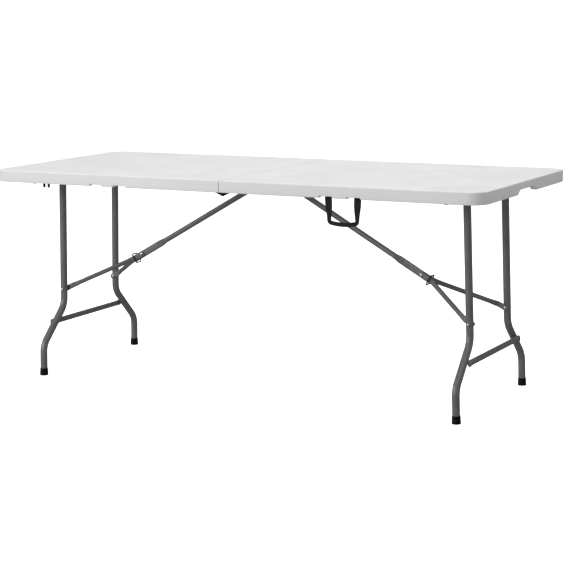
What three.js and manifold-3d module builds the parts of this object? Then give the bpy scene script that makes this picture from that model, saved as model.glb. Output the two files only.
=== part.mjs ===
// A folding table: two blow-moulded panel halves hinged across the middle, two wishbone leg sets that
// fold inwards, and a two-piece brace with a sliding lock ring for each leg set.
// Millimetres. X runs along the table, Y across it, Z is up, and the feet stand on z = 0.
import * as THREE from "three";
import { mergeVertices } from "three/addons/utils/BufferGeometryUtils.js";
import Module from "manifold-3d";

// Panels
const LENGTH = 1830;
const WIDTH = 760;
const HEIGHT = 740;
const RIM_DEPTH = 38;
const RIM_WALL = 22;
const SEAM_WALL = 15;
const PANEL_THICK = 16;
const CORNER_R = 55;
const SEAM_GAP = 1.2;
const EDGE_ROUND = 3;
const STRAP_NOTCH_X = [388, 485];
const STRAP_NOTCH = { width: 52, depth: 5.5 };
const FINGER_NOTCH = { bottom: 170, top: 120, depth: 15 };
const RIM_Z = HEIGHT - RIM_DEPTH;
const CEILING_Z = HEIGHT - PANEL_THICK;
const INNER_Y = WIDTH / 2 - RIM_WALL;
const INNER_X = LENGTH / 2 - RIM_WALL;

// Rails, and the cross tube that each brace turns on
const RAIL = { y: 339, width: 22, x0: 17, x1: 800, z0: 703, z1: 723.6, sheet: 1.6, earLip: 1.8 };
const CROSS_TUBE = { r: 8, half: 340 };

// Linkage: leg pivot, brace pivot, knee, arm pivot, all in the right half's X and Z
const LEG_PIVOT = { x: 775, z: 702 };
const BRACE_PIVOT = { x: 30, z: 704 };
const KNEE = { x: 551.7, z: 411 };
const ARM_PIVOT = { x: 787, z: 292 };
const LEG_LEAN = Math.atan2(ARM_PIVOT.x - LEG_PIVOT.x, LEG_PIVOT.z - ARM_PIVOT.z);

// Leg sets
const PIVOT_TUBE = { r: 8, half: 340 };
const LEG = { r: 12.5, wall: 1.2, y: 164, footY: 290, bendR: 65, bendZ: 262, bend: Math.PI / 4 };
const SPREADER = { r: 9.5, z: 178, half: 216, out: 16 };
const CAP = { r: 15, height: 26, floor: 6 };
const RIVET = { r: 3.2, head: 6, headH: 2.2 };

// Braces
const BRACE = { r: 9.5, wall: 1.2, bladeY: 5, bladeZ: 12.5, bladeFrom: 446, tail: 46 };
const ARM = { r: 8, wall: 1.2, flatY: 3.2, flatZ: 9.5, endY: 3.5, tail: 10, ringEnd: 40, turn: 238 };
const RING = { wire: 2.3, innerY: 14.8, innerZ: 15, past: 31 };

// Hinges, strap and catch
const HINGE = { z: 693, eye: 7, plate: 2.4, y: [351.6, 354.4] };
const STRAP = { x: [384, 490], y: 354, z: 704.5, drop: 90, top: 25, low: 11, grip: 12, thick: 3 };
const CATCH = { x: [714.5, 695.6], y: 354.5, prongR: 5.8, bottom: 684.6 };

// Materials: moulded polyethylene, grey powder coat, black nylon or webbing, and bright zinc plate
const LOOKS = {
  panel: { color: 0xeceded, roughness: 0.6, metalness: 0 },
  steel: { color: 0x63666a, roughness: 0.42, metalness: 0.2 },
  black: { color: 0x141415, roughness: 0.55, metalness: 0 },
  zinc: { color: 0xb9bcbe, roughness: 0.32, metalness: 0.9 },
};
const AXIS_X = new THREE.Vector3(1, 0, 0);
const AXIS_Y = new THREE.Vector3(0, 1, 0);
const AXIS_Z = new THREE.Vector3(0, 0, 1);

const wasm = await Module();
wasm.setup();

// A geometry as a solid for booleans.
function solidOf(geometry) {
  const flat = geometry.index ? geometry.toNonIndexed() : geometry;
  const bare = new THREE.BufferGeometry().setAttribute("position", flat.getAttribute("position"));
  const merged = mergeVertices(bare, 1e-3);
  return new wasm.Manifold(
    new wasm.Mesh({
      numProp: 3,
      vertProperties: merged.attributes.position.array,
      triVerts: new Uint32Array(merged.index.array),
    }),
  );
}

function geometryOf(solid) {
  const mesh = solid.getMesh();
  return new THREE.BufferGeometry()
    .setAttribute("position", new THREE.BufferAttribute(mesh.vertProperties, 3))
    .setIndex(new THREE.BufferAttribute(mesh.triVerts, 1));
}

const cut = (body, ...tools) =>
  geometryOf(tools.reduce((left, tool) => left.subtract(solidOf(tool)), solidOf(body)));
const join = (...parts) =>
  geometryOf(parts.map(solidOf).reduce((whole, part) => whole.add(part)));
const keep = (body, tool) => geometryOf(solidOf(body).intersect(solidOf(tool)));

const box = (x0, x1, y0, y1, z0, z1) =>
  new THREE.BoxGeometry(x1 - x0, y1 - y0, z1 - z0).translate((x0 + x1) / 2, (y0 + y1) / 2, (z0 + z1) / 2);

// A cylinder along Y from y0 to y1, centred on (x, z).
const rodY = (r, y0, y1, x = 0, z = 0, sides = 14) =>
  new THREE.CylinderGeometry(r, r, y1 - y0, sides).translate(x, (y0 + y1) / 2, z);

// A shape drawn in X and Z, given as corner points, as a plate from y0 to y1.
function plateY(points, y0, y1) {
  const shape = new THREE.Shape(points.map(([x, z]) => new THREE.Vector2(x, z)));
  return new THREE.ExtrudeGeometry(shape, { depth: y1 - y0, bevelEnabled: false })
    .rotateX(Math.PI / 2)
    .translate(0, y1, 0);
}

// A tube swept through stations [point, half size along side, half size across side]. The path stays in
// the plane normal to `side`. The bore is open at both ends; with no wall the bar is solid.
function tube(stations, side, wall, sides = 16) {
  const rings = (inset) =>
    stations.map(([point, along, across], i) => {
      const before = stations[Math.max(i - 1, 0)][0];
      const after = stations[Math.min(i + 1, stations.length - 1)][0];
      const back = point.clone().sub(before).normalize();
      const ahead = after.clone().sub(point).normalize();
      const normal = new THREE.Vector3().crossVectors(back.clone().add(ahead).normalize(), side);
      return Array.from({ length: sides }, (_, k) => {
        const turn = (2 * Math.PI * k) / sides;
        return point
          .clone()
          .addScaledVector(side, (along - inset) * Math.cos(turn))
          .addScaledVector(normal, (across - inset) * Math.sin(turn));
      });
    });
  const outer = rings(0).flat();
  const points = wall ? [...outer, ...rings(wall).flat()] : outer;
  const faces = [];
  const quad = (a, b, c, d) => faces.push(a, b, c, a, c, d);
  const last = (stations.length - 1) * sides;
  const shift = outer.length;
  for (let k = 0; k < sides; k++) {
    const n = (k + 1) % sides;
    for (let i = 0; i < last; i += sides) {
      quad(i + k, i + sides + k, i + sides + n, i + n);
      if (wall) quad(shift + i + k, shift + i + n, shift + i + sides + n, shift + i + sides + k);
    }
    if (wall) {
      quad(k, n, shift + n, shift + k);
      quad(last + k, shift + last + k, shift + last + n, last + n);
    } else if (k > 0 && n > 0) {
      faces.push(0, k, n, last, last + n, last + k);
    }
  }
  const geometry = new THREE.BufferGeometry().setFromPoints(points).setIndex(faces);
  return solidOf(geometry).volume() < 0 ? flipped(geometry) : geometry;
}

function flipped(geometry) {
  const index = Array.from(geometry.index.array);
  for (let i = 0; i < index.length; i += 3) {
    [index[i], index[i + 1]] = [index[i + 1], index[i]];
  }
  return geometry.setIndex(index);
}

const table = new THREE.Group();

// One named piece in its own material, added to a group.
function piece(group, name, look, geometry) {
  const mesh = new THREE.Mesh(geometry, new THREE.MeshStandardMaterial(LOOKS[look]));
  mesh.name = name;
  group.add(mesh);
  return mesh;
}

// A double-headed rivet or pin along Y, with a head at each end that is asked for.
function rivet(r, head, y0, y1, ends) {
  const parts = [rodY(r, y0, y1)];
  if (ends.includes("low")) parts.push(rodY(head, y0, y0 + RIVET.headH));
  if (ends.includes("high")) parts.push(rodY(head, y1 - RIVET.headH, y1));
  return join(...parts);
}

// ---- Panel half: a pan with a deep rim and a recess underneath where the legs stow ----
function panel() {
  const [x0, x1, y1] = [SEAM_GAP / 2, LENGTH / 2, WIDTH / 2];
  const outline = new THREE.Shape()
    .moveTo(x0, -y1)
    .lineTo(x1 - CORNER_R, -y1)
    .absarc(x1 - CORNER_R, -y1 + CORNER_R, CORNER_R, -Math.PI / 2, 0, false)
    .absarc(x1 - CORNER_R, y1 - CORNER_R, CORNER_R, 0, Math.PI / 2, false)
    .lineTo(x0, y1)
    .closePath();
  const body = new THREE.ExtrudeGeometry(outline, {
    depth: RIM_DEPTH - 2 * EDGE_ROUND,
    bevelThickness: EDGE_ROUND,
    bevelSize: EDGE_ROUND,
    bevelOffset: -EDGE_ROUND,
    bevelSegments: 2,
    curveSegments: 7,
  }).translate(0, 0, RIM_Z + EDGE_ROUND);
  const inner = CORNER_R - RIM_WALL;
  const hollow = new THREE.Shape()
    .moveTo(x0 + SEAM_WALL, -INNER_Y)
    .lineTo(INNER_X - inner, -INNER_Y)
    .absarc(INNER_X - inner, -INNER_Y + inner, inner, -Math.PI / 2, 0, false)
    .absarc(INNER_X - inner, INNER_Y - inner, inner, 0, Math.PI / 2, false)
    .lineTo(x0 + SEAM_WALL, INNER_Y)
    .closePath();
  const recess = new THREE.ExtrudeGeometry(hollow, {
    depth: CEILING_Z - RIM_Z + 5,
    bevelEnabled: false,
    curveSegments: 5,
  }).translate(0, 0, RIM_Z - 5);
  const strapNotches = STRAP_NOTCH_X.map((x) => {
    const half = STRAP_NOTCH.width / 2;
    const top = RIM_Z + STRAP_NOTCH.depth;
    const points = [
      [x - half, RIM_Z - 1],
      [x + half, RIM_Z - 1],
      [x + half - 5, top],
      [x - half + 5, top],
    ];
    return plateY(points, -y1 - 5, -INNER_Y + 5);
  });
  const finger = plateY(
    [
      [-FINGER_NOTCH.bottom / 2, RIM_Z - 1],
      [FINGER_NOTCH.bottom / 2, RIM_Z - 1],
      [FINGER_NOTCH.top / 2 + 8, RIM_Z + 0.8 * FINGER_NOTCH.depth],
      [FINGER_NOTCH.top / 2 - 4, RIM_Z + FINGER_NOTCH.depth],
      [-FINGER_NOTCH.top / 2 + 4, RIM_Z + FINGER_NOTCH.depth],
      [-FINGER_NOTCH.top / 2 - 8, RIM_Z + 0.8 * FINGER_NOTCH.depth],
    ],
    -x1 - 5,
    -INNER_X + 5,
  ).rotateZ(Math.PI / 2);
  return cut(body, recess, finger, ...strapNotches);
}

// ---- Rail: a folded steel channel, open downwards, with an ear for each tube that turns in it ----
function rail() {
  const { width, x0, x1, z0, z1, sheet, earLip } = RAIL;
  const half = width / 2;
  const channel = cut(
    box(x0, x1, -half, half, z0, z1),
    box(x0 - 1, x1 + 1, -half + sheet, half - sheet, z0 - 1, z1 - sheet),
  );
  const bearings = [
    [LEG_PIVOT, PIVOT_TUBE.r],
    [BRACE_PIVOT, CROSS_TUBE.r],
  ];
  const ears = bearings.map(([{ x, z }, r]) => {
    const left = Math.max(x - r - 8, x0);
    const points = [
      [left, z0 + 2],
      [Math.max(x - 6, x0), z - r - earLip],
      [x + 6, z - r - earLip],
      [x + r + 8, z0 + 2],
    ];
    return plateY(points, half - sheet, half);
  });
  const holes = bearings.map(([{ x, z }, r]) => rodY(r + 0.3, 0, half + 2, x, z, 20));
  return cut(join(channel, ...ears), ...holes);
}

// ---- Leg: a straight drop, an S-bend outwards, and a straight foot; drawn about its pivot ----
function legStations(side, grow = 0) {
  const { r, y, footY, bendR, bendZ, bend } = LEG;
  const drop = (z) => z - LEG_PIVOT.z;
  const r1 = r + grow;
  const steps = 4;
  const stations = [[0, y, 5]];
  for (let i = 0; i <= steps; i++) {
    const a = (bend * i) / steps;
    stations.push([0, y + bendR * (1 - Math.cos(a)), drop(bendZ) - bendR * Math.sin(a)]);
  }
  const shoulderY = bendR * (1 - Math.cos(bend));
  const run = (footY - y - 2 * shoulderY) / Math.tan(bend);
  const lowZ = drop(bendZ) - 2 * bendR * Math.sin(bend) - run;
  for (let i = steps; i >= 0; i--) {
    const a = (bend * i) / steps;
    stations.push([0, footY - bendR * (1 - Math.cos(a)), lowZ + bendR * Math.sin(a)]);
  }
  stations.push([0, footY, drop(0) + CAP.floor + 1.5]);
  return stations.map(([sx, sy, sz]) => [new THREE.Vector3(sx, side * sy, sz), r1, r1]);
}

// The arm pivot's distance down the leg from the leg pivot.
const armDrop = -Math.hypot(ARM_PIVOT.x - LEG_PIVOT.x, ARM_PIVOT.z - LEG_PIVOT.z);

const leg = (side) =>
  cut(
    tube(legStations(side), AXIS_X, LEG.wall),
    rodY(PIVOT_TUBE.r + 0.3, -400, 400),
    rodY(RIVET.r + 0.3, -400, 400, 0, armDrop),
  );

// The spreader crosses behind both legs, on their outer sides, and its ends are notched to fit them.
function spreader() {
  const z = -(LEG_PIVOT.z - SPREADER.z) / Math.cos(LEG_LEAN);
  const { r, half, out } = SPREADER;
  const ends = [-1, 1].map((s) => [new THREE.Vector3(out, s * half, z), r, r]);
  const legs = [-1, 1].map((s) => tube(legStations(s, 0.3), AXIS_X, 0));
  return cut(tube(ends, AXIS_X, LEG.wall), ...legs);
}

// The foot cap is a cup round the end of the leg, sliced level with the floor.
function footCap(side) {
  const y = side * LEG.footY;
  const toFloor = -LEG_PIVOT.z / Math.cos(LEG_LEAN);
  const cup = new THREE.CylinderGeometry(CAP.r - 0.8, CAP.r, CAP.height + 8, 24)
    .rotateX(Math.PI / 2)
    .translate(0, y, toFloor + CAP.height / 2 - 4);
  const bore = new THREE.CylinderGeometry(LEG.r + 0.3, LEG.r + 0.3, CAP.height + 8, 16)
    .rotateX(Math.PI / 2)
    .translate(0, y, toFloor + CAP.floor + CAP.height / 2 + 4);
  const above = box(-60, 60, y - 60, y + 60, 0, 120)
    .translate(0, 0, -LEG_PIVOT.z)
    .rotateY(LEG_LEAN);
  return keep(cut(cup, bore), above);
}

// ---- Brace: a round tube welded to its cross tube and pressed flat at the knee; drawn along X ----
const kneeAt = Math.hypot(KNEE.x - BRACE_PIVOT.x, BRACE_PIVOT.z - KNEE.z);
const braceDip = Math.atan2(BRACE_PIVOT.z - KNEE.z, KNEE.x - BRACE_PIVOT.x);
const armDip = Math.atan2(KNEE.z - ARM_PIVOT.z, ARM_PIVOT.x - KNEE.x);
const armAt = Math.hypot(ARM_PIVOT.x - KNEE.x, KNEE.z - ARM_PIVOT.z);

function brace() {
  const { r, wall, bladeY, bladeZ, bladeFrom, tail } = BRACE;
  const stations = [
    [3, r, r],
    [bladeFrom, r, r],
    [bladeFrom + 18, 8.4, 10.4],
    [bladeFrom + 36, 6.2, 11.8],
    [bladeFrom + 50, bladeY, bladeZ],
    [kneeAt + tail, bladeY, bladeZ],
  ].map(([x, y, z]) => [new THREE.Vector3(x, 0, 0), y, z]);
  return cut(
    tube(stations, AXIS_Y, wall, 16),
    rodY(CROSS_TUBE.r + 0.3, -20, 20, 0, 0, 24),
    rodY(RIVET.r + 0.2, -20, 20, kneeAt, 0),
  );
}

// ---- Arm: from the side of the blade out to the inner side of its leg; drawn along X from the knee ----
const armInY = BRACE.bladeY + 0.4 + ARM.flatY;
const armOutY = LEG.y - LEG.r - 0.6 - ARM.endY;

function arm(side) {
  const { r, wall, flatY, flatZ, endY, tail, ringEnd, turn } = ARM;
  const slope = (armOutY - armInY) / (turn - ringEnd);
  const at = (x) => armInY + slope * (x - ringEnd);
  const stations = [
    [-tail, armInY, flatY, flatZ],
    [ringEnd - 8, armInY, flatY, flatZ],
    [ringEnd + 4, at(ringEnd + 6), flatY + 0.8, flatZ - 0.3],
    [ringEnd + 26, at(ringEnd + 26), r, r],
    [turn - 28, at(turn - 28), r, r],
    [turn - 4, at(turn - 6), endY + 0.8, flatZ - 0.3],
    [turn + 10, armOutY, endY, flatZ],
    [armAt + 10, armOutY, endY, flatZ],
  ].map(([x, y, half, tall]) => [new THREE.Vector3(x, side * y, 0), tall, half]);
  return cut(
    tube(stations, AXIS_Z, wall, 12),
    rodY(RIVET.r + 0.3, -200, 200),
    rodY(RIVET.r + 0.3, -200, 200, armAt, 0),
  );
}

// The lock ring is a closed wire loop with rounded corners, lying across the brace.
function ring() {
  const { wire, innerY, innerZ } = RING;
  const loop = (y, z, r) =>
    new THREE.Shape()
      .moveTo(-y + r, -z)
      .absarc(y - r, -z + r, r, -Math.PI / 2, 0, false)
      .absarc(y - r, z - r, r, 0, Math.PI / 2, false)
      .absarc(-y + r, z - r, r, Math.PI / 2, Math.PI, false)
      .absarc(-y + r, -z + r, r, Math.PI, 1.5 * Math.PI, false);
  const outline = loop(innerY + 2 * wire - 1, innerZ + 2 * wire - 1, 7);
  outline.holes.push(loop(innerY + 1, innerZ + 1, 4));
  return new THREE.ExtrudeGeometry(outline, {
    depth: 2 * wire - 2,
    bevelThickness: 1,
    bevelSize: 1,
    bevelSegments: 1,
    curveSegments: 4,
  })
    .translate(0, 0, 1 - wire)
    .rotateY(Math.PI / 2)
    .rotateX(Math.PI / 2);
}

// ---- One half of the table, drawn as the right half; the left half is its mirror image ----
for (const [name, mirror] of [
  ["left", -1],
  ["right", 1],
]) {
  const half = new THREE.Group();
  half.scale.x = mirror;
  table.add(half);
  piece(half, `${name}_top_panel`, "panel", panel());
  for (const [edge, side] of [
    ["front", -1],
    ["rear", 1],
  ]) {
    const channel = piece(half, `${name}_${edge}_rail`, "steel", rail());
    channel.position.y = side * RAIL.y;
    channel.scale.y = -side;
  }
  const legSet = new THREE.Group();
  legSet.position.set(LEG_PIVOT.x, 0, LEG_PIVOT.z);
  legSet.rotation.y = -LEG_LEAN;
  half.add(legSet);
  const pivotEnds = [-1, 1].map((s) => [
    new THREE.Vector3(0, s * PIVOT_TUBE.half, 0),
    PIVOT_TUBE.r,
    PIVOT_TUBE.r,
  ]);
  piece(legSet, `${name}_leg_pivot_tube`, "steel", tube(pivotEnds, AXIS_X, LEG.wall));
  piece(legSet, `${name}_spreader`, "steel", spreader());

  const linkTop = new THREE.Group();
  linkTop.position.set(BRACE_PIVOT.x, 0, BRACE_PIVOT.z);
  linkTop.rotation.y = braceDip;
  half.add(linkTop);
  const crossEnds = [-1, 1].map((s) => [
    new THREE.Vector3(0, s * CROSS_TUBE.half, 0),
    CROSS_TUBE.r,
    CROSS_TUBE.r,
  ]);
  piece(linkTop, `${name}_cross_tube`, "steel", tube(crossEnds, AXIS_X, LEG.wall));
  piece(linkTop, `${name}_brace`, "steel", brace());
  const kneeHalf = armInY + ARM.flatY + RIVET.headH;
  const kneeRivet = rivet(RIVET.r, RIVET.head, -kneeHalf, kneeHalf, ["low", "high"]);
  piece(linkTop, `${name}_knee_rivet`, "zinc", kneeRivet).position.x = kneeAt;
  piece(linkTop, `${name}_lock_ring`, "zinc", ring()).position.x = kneeAt + RING.past;

  const linkLow = new THREE.Group();
  linkLow.position.set(KNEE.x, 0, KNEE.z);
  linkLow.rotation.y = armDip;
  half.add(linkLow);

  for (const [edge, side] of [
    ["front", -1],
    ["rear", 1],
  ]) {
    piece(legSet, `${name}_${edge}_leg`, "steel", leg(side));
    piece(legSet, `${name}_${edge}_foot_cap`, "black", footCap(side));
    const outer = LEG.y + LEG.r + RIVET.headH;
    const inner = LEG.y - LEG.r - 0.1;
    const legRivet = piece(
      legSet,
      `${name}_${edge}_leg_rivet`,
      "zinc",
      side < 0
        ? rivet(RIVET.r, RIVET.head, -outer, -inner, ["low"])
        : rivet(RIVET.r, RIVET.head, inner, outer, ["high"]),
    );
    legRivet.position.z = armDrop;
    piece(linkLow, `${name}_${edge}_arm`, "steel", arm(side));
    const armHead = armOutY - ARM.endY - RIVET.headH;
    const armEnd = armOutY + ARM.endY;
    const armPin = piece(
      linkLow,
      `${name}_${edge}_arm_pin`,
      "zinc",
      side < 0
        ? rivet(RIVET.r, RIVET.head, -armEnd, -armHead, ["high"])
        : rivet(RIVET.r, RIVET.head, armHead, armEnd, ["low"]),
    );
    armPin.position.x = armAt;
  }
}

// ---- Centre hinges: a plate on each half, lapped side by side on one pin below the seam ----
function hingeLeaf(toward, y) {
  const { z, eye, plate } = HINGE;
  const arc = Array.from({ length: 9 }, (_, i) => {
    const a = Math.PI / 2 + (Math.PI * 1.25 * i) / 8;
    return [eye * Math.cos(a), z + eye * Math.sin(a)];
  });
  const blade = [
    ...arc,
    [31, RIM_Z - 3],
    [50, RIM_Z + 3],
    [50, 718],
    [24.5, 718],
    [24.5, RIM_Z - 0.8],
    [12, RIM_Z - 0.8],
  ];
  const flat = cut(plateY(blade, y - plate / 2, y + plate / 2), rodY(RIVET.r + 0.1, y - 5, y + 5, 0, z));
  return toward < 0 ? flipped(mergeVertices(flat.scale(-1, 1, 1))) : flat;
}

for (const [edge, side] of [
  ["front", -1],
  ["rear", 1],
]) {
  const hinge = new THREE.Group();
  hinge.scale.y = side;
  table.add(hinge);
  piece(hinge, `${edge}_hinge_right_leaf`, "black", hingeLeaf(1, HINGE.y[0]));
  piece(hinge, `${edge}_hinge_left_leaf`, "black", hingeLeaf(-1, HINGE.y[1]));
  const shank = rodY(RIVET.r - 0.1, 348, 358);
  const heads = [rodY(5, 348, 350.2), rodY(5, 355.8, 358)];
  piece(hinge, `${edge}_hinge_pin`, "black", join(shank, ...heads)).position.z = HINGE.z;
}

// ---- Strap handle on the right half, hanging from two anchors behind the rim ----
function strap() {
  const { x, y, z, drop, top, low, grip, thick } = STRAP;
  const [a, b] = x;
  const foot = z - drop;
  const points = [
    [a - top / 2, z],
    [a - top / 2 + 2, z - 40],
    [a - low / 2, foot + grip],
    [a + 2, foot + 1.5],
    [(a + b) / 2, foot - 1.5],
    [b - 2, foot + 1.5],
    [b + low / 2, foot + grip],
    [b + top / 2 - 2, z - 40],
    [b + top / 2, z],
    [b - top / 2, z],
    [b - top / 2 + 3, z - 40],
    [b - low / 2, foot + grip + 1],
    [a + low / 2, foot + grip + 1],
    [a + top / 2 - 3, z - 40],
    [a + top / 2, z],
  ];
  return plateY(points, -y - thick / 2, -y + thick / 2);
}

piece(table, "handle_strap", "black", strap());
STRAP.x.forEach((x, i) => {
  const name = `handle_anchor_${["inner", "outer"][i]}`;
  piece(table, name, "black", box(x - 14, x + 14, -INNER_Y + 0.3, -351, 706.5, 719));
});

// ---- Catch: two prongs on the left half that snap round a peg on the right half ----
function catchFork() {
  const { x, y, prongR, bottom } = CATCH;
  const base = box(-x[0] - 8, -x[1] + 8, -y - 3, -y + 3, 706, 720);
  const prongs = x.map((px) =>
    new THREE.CylinderGeometry(prongR, prongR * 0.8, 708 - bottom, 16)
      .rotateX(Math.PI / 2)
      .scale(1, 0.5, 1)
      .translate(-px, -y, (708 + bottom) / 2),
  );
  return join(base, ...prongs);
}

const pegX = (CATCH.x[0] + CATCH.x[1]) / 2;
piece(table, "left_catch_fork", "black", catchFork());
piece(
  table,
  "right_catch_peg",
  "black",
  join(
    box(pegX - 10, pegX + 10, -CATCH.y - 3, -CATCH.y + 3, 706, 720),
    box(pegX - 1.8, pegX + 1.8, -CATCH.y - 2.5, -CATCH.y + 2.5, 698, 707),
  ),
);

export default table;
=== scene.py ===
"""A fold-in-half banquet table: moulded top, two wishbone leg sets, two braces with sliding lock rings,
centre hinges, a webbing carry handle and a snap catch, dressed over its CAD frame."""

import bpy
import numpy as np
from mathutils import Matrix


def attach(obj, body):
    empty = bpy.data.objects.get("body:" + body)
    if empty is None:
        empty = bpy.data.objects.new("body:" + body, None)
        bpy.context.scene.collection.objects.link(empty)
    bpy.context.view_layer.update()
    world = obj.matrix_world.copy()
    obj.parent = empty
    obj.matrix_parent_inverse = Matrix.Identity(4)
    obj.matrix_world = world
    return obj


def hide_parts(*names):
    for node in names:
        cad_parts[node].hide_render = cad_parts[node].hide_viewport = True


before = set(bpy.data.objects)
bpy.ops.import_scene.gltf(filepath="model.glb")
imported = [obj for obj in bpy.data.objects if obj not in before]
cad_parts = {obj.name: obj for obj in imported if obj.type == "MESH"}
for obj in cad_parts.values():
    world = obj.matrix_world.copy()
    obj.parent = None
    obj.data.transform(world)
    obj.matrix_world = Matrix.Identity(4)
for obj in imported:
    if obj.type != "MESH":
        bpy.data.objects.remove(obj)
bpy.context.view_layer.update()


# ---- Camera: a long lens in front and to the right of the table, a little above the top ----
# It stands about 5.7 m away and looks slightly down, with a very small roll.
def look(azimuth, elevation, roll, distance, target):
    """Camera matrix: back = (sin a cos e, -cos a cos e, sin e); right and up are turned about it by
    the roll."""
    a, e, r = np.radians([azimuth, elevation, roll])
    back = np.array([np.sin(a) * np.cos(e), -np.cos(a) * np.cos(e), np.sin(e)])
    right = np.cross(-back, (0, 0, 1))
    right /= np.linalg.norm(right)
    up = np.cross(right, -back)
    matrix = np.eye(4)
    matrix[:3, 0] = np.cos(r) * right + np.sin(r) * up
    matrix[:3, 1] = np.cos(r) * up - np.sin(r) * right
    matrix[:3, 2] = back
    matrix[:3, 3] = np.array(target) + distance * back
    return matrix


camera = bpy.data.objects.new("camera", bpy.data.cameras.new("camera"))
bpy.context.scene.collection.objects.link(camera)
camera.matrix_world = look(28.64, 9.97, -0.75, 5.72914, (0.03678, 0, 0.33093)).T.tolist()
camera.data.lens = 103.69
camera.data.clip_end = 900
bpy.context.scene.camera = camera


# ---- Studio: a pale floor, a white surround and three soft boxes ----
# The surround is bright where it is seen, and dimmer where it lights the table or shows in the gloss.
def soft_box(name, place, aim, size, watts):
    """A rectangular lamp at `place` that faces `aim`: its -Z axis lies along aim - place."""
    lamp = bpy.data.objects.new(name, bpy.data.lights.new(name, "AREA"))
    bpy.context.scene.collection.objects.link(lamp)
    lamp.data.shape = "RECTANGLE"
    lamp.data.size, lamp.data.size_y = size
    lamp.data.energy = watts
    back = np.array(place, float) - np.array(aim, float)
    back /= np.linalg.norm(back)
    right = np.cross((0, 1, 0) if abs(back[2]) > 0.99 else (0, 0, 1), back)
    right /= np.linalg.norm(right)
    matrix = np.eye(4)
    matrix[:3, 0], matrix[:3, 1], matrix[:3, 2], matrix[:3, 3] = right, np.cross(back, right), back, place
    lamp.matrix_world = matrix.T.tolist()
    return lamp


soft_box("key_box", (-2.6, -4.6, 2.2), (0, 0, 0.45), (3.4, 2.2), 138)
soft_box("top_box", (0.2, 0.4, 3.6), (0, 0, 0.7), (5.0, 3.6), 86)
soft_box("edge_box", (4.2, 2.6, 1.6), (0, 0, 0.4), (1.2, 2.4), 5)

bpy.context.scene.view_settings.view_transform = "Standard"
world = bpy.data.worlds.new("surround")
bpy.context.scene.world = world
world.use_nodes = True
sky = world.node_tree
sky.nodes.clear()
paths = sky.nodes.new("ShaderNodeLightPath")
seen = sky.nodes.new("ShaderNodeBackground")
seen.inputs["Strength"].default_value = 1.15
seen.inputs["Color"].default_value = (1, 1, 1, 1)
lit = sky.nodes.new("ShaderNodeBackground")
lit.inputs["Color"].default_value = (1, 1, 1, 1)
lit.inputs["Strength"].default_value = 0.35
glossy = sky.nodes.new("ShaderNodeBackground")
glossy.inputs["Color"].default_value = (1, 1, 1, 1)
glossy.inputs["Strength"].default_value = 0.10
first = sky.nodes.new("ShaderNodeMixShader")
second = sky.nodes.new("ShaderNodeMixShader")
out = sky.nodes.new("ShaderNodeOutputWorld")
sky.links.new(paths.outputs["Is Glossy Ray"], first.inputs["Fac"])
sky.links.new(lit.outputs[0], first.inputs[1])
sky.links.new(glossy.outputs[0], first.inputs[2])
sky.links.new(paths.outputs["Is Camera Ray"], second.inputs["Fac"])
sky.links.new(first.outputs[0], second.inputs[1])
sky.links.new(seen.outputs[0], second.inputs[2])
sky.links.new(second.outputs[0], out.inputs[0])

floor_mesh = bpy.data.meshes.new("floor")
floor_mesh.from_pydata([(-400, -400, 0), (400, -400, 0), (400, 400, 0), (-400, 400, 0)], [], [(0, 1, 2, 3)])
floor = bpy.data.objects.new("floor", floor_mesh)
bpy.context.scene.collection.objects.link(floor)
paper = bpy.data.materials.new("pale_floor")
paper.use_nodes = True
shader = paper.node_tree.nodes["Principled BSDF"]
shader.inputs["Base Color"].default_value = (0.9, 0.9, 0.9, 1)
shader.inputs["Roughness"].default_value = 0.9
shader.inputs["Specular IOR Level"].default_value = 0.0
shader.inputs["Emission Color"].default_value = (1, 1, 1, 1)
shader.inputs["Emission Strength"].default_value = 0.95
floor_mesh.materials.append(paper)
floor.visible_diffuse = False
floor.visible_glossy = False


# ---- Top: two blow-moulded polyethylene halves, each a hollow deck with a deep rolled rim ----
# The rim's foot is notched for fingers at the end and for the strap at the front. Underneath, rows of
# oval dimples are pinched up to the upper skin. The surface has the fine pebble of a blasted mould.
SIDES = (("left", -1), ("right", 1))
DECK_TOP, RIM_FOOT, CEILING = 740.0, 700.2, 724.0
HALF_WIDTH, END_X, CORNER = 380.0, 915.0, 55.0
SEAM_X, SEAM_SHARE = 1.4, 15 / 22
EDGE_ROUND, RIM_ROUND, FILLET, RIM_INSET = 3.0, 3.0, 3.0, 22.0
STRAP_AT = (388.0, 485.0)
NOTCH_HALF, NOTCH_RISE, NOTCH_SIDE = 26.0, 5.5, 5.0
FINGER_HALF, FINGER_RISE = (56.0, 68.0, 85.0), (15.0, 12.0, 0.0)
DIMPLE = {"x": 88.0, "y": 54.0, "long": 31.0, "short": 14.0, "rise": 6.0}


def ease(t):
    """A smooth step: 3 t^2 - 2 t^3, with t held between 0 and 1."""
    t = np.clip(t, 0, 1)
    return t * t * (3 - 2 * t)


def quads(rings, around=True, along=False):
    """Faces of a grid of points numbered row by row; `rings` is its shape. A face joins (i, j), (i, j+1),
    (i+1, j+1) and (i+1, j), wrapping round where `around` or `along` says so."""
    rows, columns = rings
    i = np.arange(rows if along else rows - 1)[:, None]
    j = np.arange(columns if around else columns - 1)[None, :]
    i2, j2 = (i + 1) % rows, (j + 1) % columns
    corners = (i * columns + j, i * columns + j2, i2 * columns + j2, i2 * columns + j)
    return np.stack(np.broadcast_arrays(*corners), -1).reshape(-1, 4)


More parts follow.
